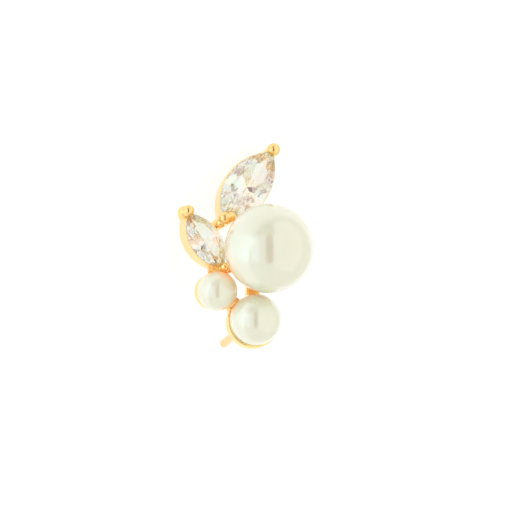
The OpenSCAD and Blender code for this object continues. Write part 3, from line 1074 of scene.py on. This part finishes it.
# %% Window and panel
def soft_box(name, way, distance, size, colour, radiance):
    """A square soft light that adds an even brightness to the tent's cloth behind it."""
    light = bpy.data.lights.new(name, "AREA")
    light.shape = "RECTANGLE"
    light.size, light.size_y = size
    light.color = linear(colour)[:3]
    light.energy = radiance * math.pi * size[0] * size[1]
    lamp = bpy.data.objects.new(name, light)
    bpy.context.scene.collection.objects.link(lamp)
    z = way.normalized()
    x = UP.cross(z).normalized()
    y = z.cross(x)
    turn = Matrix((x, y, z)).transposed().to_4x4()
    lamp.matrix_world = Matrix.Translation(pearl_middle + z * distance) @ turn
    lowest = min(
        (lamp.matrix_world @ Vector((sx * size[0] / 2, sy * size[1] / 2, 0))).z
        for sx in (-1, 1)
        for sy in (-1, 1)
    )
    print(name, "lowest corner", round(lowest, 3), "m above the table")


BOX_DISTANCE = 0.5
window, panel = toward(-38, -3), toward(52, 5)
soft_box("left_window", window, BOX_DISTANCE, size=(0.18, 0.55), colour="#AED0FF", radiance=0.6)
soft_box("right_panel", panel, BOX_DISTANCE, size=(0.85, 1.6), colour="#FFFFFF", radiance=0.25)

# %% [markdown]
# ## Slit, cloth and lens
#
# What lies round the camera is what a pearl mirrors in its middle. An upright strip, bent round
# the earring, is the slit's shaded edge, and a dull cloth hangs high up, mostly on the left. A
# stone would turn the dark strip into black flecks, where the real ones are pale. So the two
# don't show to light that went through a stone, and a pale strip in the slit's place shows to
# that light only.

# %% Bent strips of cloth
# Dyed and woven, with no shine: a pearl mirrors each strip as one even, soft-edged colour.
SLIT_DISTANCE = 0.46
SLIT = (-9.5, 9.5)
SLIT_UP = (-38, 63, 5)
ABOVE = (-46, -15, 17)
ABOVE_UP = (32, 83, 5)


def bent_cloth(name, colour, sides, up_range):
    """An upright strip of cloth, bent round the earring."""
    cloth, _, shader, _ = start_material(name + "_cloth", Roughness=0.9)
    shader.inputs["Base Color"].default_value = linear(colour)
    mesh = bpy.data.meshes.new(name)
    corners = []
    for up_degrees in range(*up_range):
        for side in sides:
            corners.append(pearl_middle + toward(side, up_degrees) * SLIT_DISTANCE)
    wide = len(sides)
    starts = [i for i in range(len(corners) - wide) if (i + 1) % wide]
    mesh.from_pydata(corners, [], [(i, i + 1, i + 1 + wide, i + wide) for i in starts])
    mesh.materials.append(cloth)
    strip = show(mesh, name)
    strip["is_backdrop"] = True
    print(name, "has", len(mesh.polygons), "faces")
    return strip


bent_cloth("slit", "#9C3020", SLIT, SLIT_UP).visible_transmission = False
bent_cloth("dull_cloth_above", "#D8D2C2", ABOVE, ABOVE_UP).visible_transmission = False
pale_slit = bent_cloth("slit_seen_through_stones", "#F2EAEA", SLIT, SLIT_UP)
pale_slit.visible_glossy = False
pale_slit.visible_diffuse = False

# %% Camera lens
# Coated glass in a black barrel: a dark disc just behind the camera, in the middle of each
# pearl's mirror image.
LENS_RADIUS = 0.05
LENS_SETBACK = 0.01
LENS_SIDES = 24
glass, _, shader, _ = start_material("dark_camera_lens", Roughness=0.2)
shader.inputs["Base Color"].default_value = linear("#3A2A24")
lens_mesh = bpy.data.meshes.new("lens")
rim = []
for i in range(LENS_SIDES):
    angle = 2 * math.pi * i / LENS_SIDES
    outward = RIGHT * math.cos(angle) + UP * math.sin(angle)
    rim.append(camera.location + BACK * LENS_SETBACK + outward * LENS_RADIUS)
lens_mesh.from_pydata(rim, [], [tuple(range(LENS_SIDES))])
lens_mesh.materials.append(glass)
lens = show(lens_mesh, "lens")
lens.visible_transmission = False
lens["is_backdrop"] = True
print("lens:", round(2 * LENS_RADIUS / MM), "mm across")

# %% [markdown]
# The tent's cloth is the world's even, slightly warm white. A picture for a shop is exposed
# until its background is plain white, so the view is Standard, with a gamma a little above 1
# that lifts the middle tones. Light crosses a stone many times before it leaves, and
# stopping it early would leave black facets, so it may bounce 32 times.

# %% Tent and exposure
TENT_STRENGTH = 0.88
BOUNCES = 32
MIRROR_BOUNCES = 16
tent = bpy.data.worlds.new("tent")
tent.use_nodes = True
cloth = tent.node_tree.nodes["Background"]
cloth.inputs["Color"].default_value = linear("#FFFEFA")
cloth.inputs["Strength"].default_value = TENT_STRENGTH
bpy.context.scene.world = tent
bpy.context.scene.view_settings.view_transform = "Standard"
bpy.context.scene.view_settings.gamma = 1.15
bpy.context.scene.cycles.max_bounces = BOUNCES
bpy.context.scene.cycles.transmission_bounces = BOUNCES
bpy.context.scene.cycles.glossy_bounces = MIRROR_BOUNCES
print("tent strength", TENT_STRENGTH, "and up to", BOUNCES, "bounces")

# %% [markdown]
# ## Finish
#
# The dressed earring has to keep the solids' size, so both boxes are printed side by side.

# %% Sizes
visual_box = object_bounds()
sizes = {
    "cad": [list(corner) for corner in cad_box],
    "visual": [list(corner) for corner in visual_box],
}
for name, (low, high) in sizes.items():
    print(name, [round((b - a) / MM, 2) for a, b in zip(low, high)], "mm")
